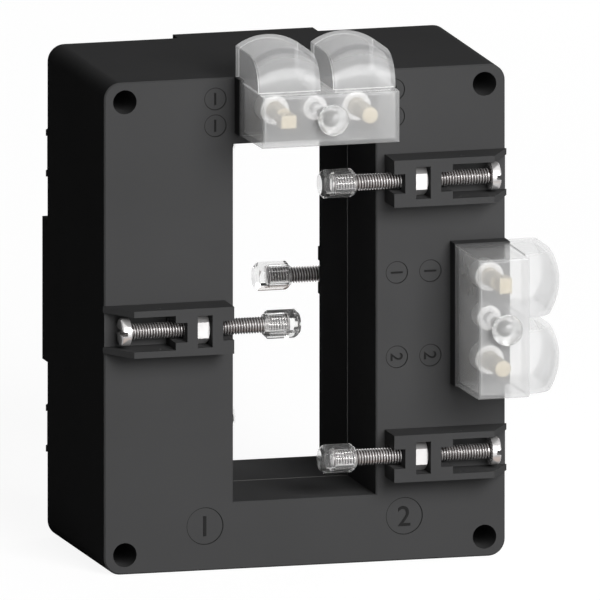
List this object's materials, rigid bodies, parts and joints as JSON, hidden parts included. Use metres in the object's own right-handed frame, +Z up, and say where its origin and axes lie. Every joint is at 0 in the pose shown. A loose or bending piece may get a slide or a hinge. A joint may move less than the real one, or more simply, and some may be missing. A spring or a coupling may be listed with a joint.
{
  "type": "current transformer",
  "caption": "Window current transformer for flat busbars, with cross clamp screws and clear covers over its terminals.",
  "frame": {"origin": "centre of the housing's flat bottom face", "axes": "+X to the right and +Y to the back as seen from the face with the covers, along the bar; +Z up"},
  "size_m": [0.1612, 0.1319, 0.1907],
  "materials": {
    "housing": "fine matt moulded surface",
    "core_steel": "wound silicon steel strip",
    "winding_tape": "varnished tape over enamelled wire",
    "lead_sleeve": "insulating sleeve",
    "plated_steel": "bright zinc or nickel plate",
    "clear_plastic": "clear polished plastic",
    "milky_plastic": "slightly milky clear plastic",
    "nickel": "bright nickel plate",
    "terminal_brass": "pale tinned brass"
  },
  "bodies": {
    "housing": {"front_shell": "housing", "rear_shell": "housing", "core": "core_steel", "winding_left": "winding_tape", "winding_right": "winding_tape", "lead_top_one": "lead_sleeve", "lead_top_two": "lead_sleeve", "lead_side_one": "lead_sleeve", "lead_side_two": "lead_sleeve", "winding_link": "lead_sleeve", "clamp_nut_front_middle": "plated_steel", "clamp_nut_front_upper": "plated_steel", "clamp_nut_front_lower": "plated_steel", "clamp_nut_rear_middle": "plated_steel", "clamp_nut_rear_upper": "plated_steel", "clamp_nut_rear_lower": "plated_steel", "terminal_cover_top": "milky_plastic", "seal_screw_top": "clear_plastic", "seal_socket_top": "nickel", "terminal_collar_top_one": "nickel", "terminal_stud_top_one": "terminal_brass", "terminal_collar_top_two": "nickel", "terminal_stud_top_two": "terminal_brass", "terminal_block_top": "terminal_brass", "terminal_cover_side": "milky_plastic", "seal_screw_side": "clear_plastic", "seal_socket_side": "nickel", "terminal_collar_side_one": "nickel", "terminal_stud_side_one": "terminal_brass", "terminal_collar_side_two": "nickel", "terminal_stud_side_two": "terminal_brass", "terminal_block_side": "terminal_brass"},
    "cap_front_middle": {"insulating_cap_front_middle": "clear_plastic"},
    "screw_front_middle": {"clamp_screw_front_middle": "plated_steel"},
    "cap_front_upper": {"insulating_cap_front_upper": "clear_plastic"},
    "screw_front_upper": {"clamp_screw_front_upper": "plated_steel"},
    "cap_front_lower": {"insulating_cap_front_lower": "clear_plastic"},
    "screw_front_lower": {"clamp_screw_front_lower": "plated_steel"},
    "cap_rear_middle": {"insulating_cap_rear_middle": "clear_plastic"},
    "screw_rear_middle": {"clamp_screw_rear_middle": "plated_steel"},
    "cap_rear_upper": {"insulating_cap_rear_upper": "clear_plastic"},
    "screw_rear_upper": {"clamp_screw_rear_upper": "plated_steel"},
    "cap_rear_lower": {"insulating_cap_rear_lower": "clear_plastic"},
    "screw_rear_lower": {"clamp_screw_rear_lower": "plated_steel"}
  },
  "joints": [
    {"name": "clamp_front_middle_travel", "type": "slide", "parent": "housing", "child": "cap_front_middle", "axis": [1, 0, 0], "range_m": [-0.012, 0.015]},
    {"name": "clamp_front_middle_turn", "type": "hinge", "parent": "cap_front_middle", "child": "screw_front_middle", "pos_m": [0, -0.0436, 0.088], "axis": [1, 0, 0], "range_deg": [-4320, 5400]},
    {"name": "clamp_front_upper_travel", "type": "slide", "parent": "housing", "child": "cap_front_upper", "axis": [-1, 0, 0], "range_m": [-0.012, 0.015]},
    {"name": "clamp_front_upper_turn", "type": "hinge", "parent": "cap_front_upper", "child": "screw_front_upper", "pos_m": [0, -0.0436, 0.1372], "axis": [-1, 0, 0], "range_deg": [-4320, 5400]},
    {"name": "clamp_front_lower_travel", "type": "slide", "parent": "housing", "child": "cap_front_lower", "axis": [-1, 0, 0], "range_m": [-0.012, 0.015]},
    {"name": "clamp_front_lower_turn", "type": "hinge", "parent": "cap_front_lower", "child": "screw_front_lower", "pos_m": [0, -0.0436, 0.0388], "axis": [-1, 0, 0], "range_deg": [-4320, 5400]},
    {"name": "clamp_rear_middle_travel", "type": "slide", "parent": "housing", "child": "cap_rear_middle", "axis": [-1, 0, 0], "range_m": [-0.012, 0.015]},
    {"name": "clamp_rear_middle_turn", "type": "hinge", "parent": "cap_rear_middle", "child": "screw_rear_middle", "pos_m": [0, 0.0436, 0.088], "axis": [-1, 0, 0], "range_deg": [-4320, 5400]},
    {"name": "clamp_rear_upper_travel", "type": "slide", "parent": "housing", "child": "cap_rear_upper", "axis": [1, 0, 0], "range_m": [-0.012, 0.015]},
    {"name": "clamp_rear_upper_turn", "type": "hinge", "parent": "cap_rear_upper", "child": "screw_rear_upper", "pos_m": [0, 0.0436, 0.1372], "axis": [1, 0, 0], "range_deg": [-4320, 5400]},
    {"name": "clamp_rear_lower_travel", "type": "slide", "parent": "housing", "child": "cap_rear_lower", "axis": [1, 0, 0], "range_m": [-0.012, 0.015]},
    {"name": "clamp_rear_lower_turn", "type": "hinge", "parent": "cap_rear_lower", "child": "screw_rear_lower", "pos_m": [0, 0.0436, 0.0388], "axis": [1, 0, 0], "range_deg": [-4320, 5400]}
  ],
  "couplings": [
    {"joint": "clamp_front_middle_turn", "follows": "clamp_front_middle_travel", "rad_per_m": 6283.2},
    {"joint": "clamp_front_upper_turn", "follows": "clamp_front_upper_travel", "rad_per_m": 6283.2},
    {"joint": "clamp_front_lower_turn", "follows": "clamp_front_lower_travel", "rad_per_m": 6283.2},
    {"joint": "clamp_rear_middle_turn", "follows": "clamp_rear_middle_travel", "rad_per_m": 6283.2},
    {"joint": "clamp_rear_upper_turn", "follows": "clamp_rear_upper_travel", "rad_per_m": 6283.2},
    {"joint": "clamp_rear_lower_turn", "follows": "clamp_rear_lower_travel", "rad_per_m": 6283.2}
  ]
}
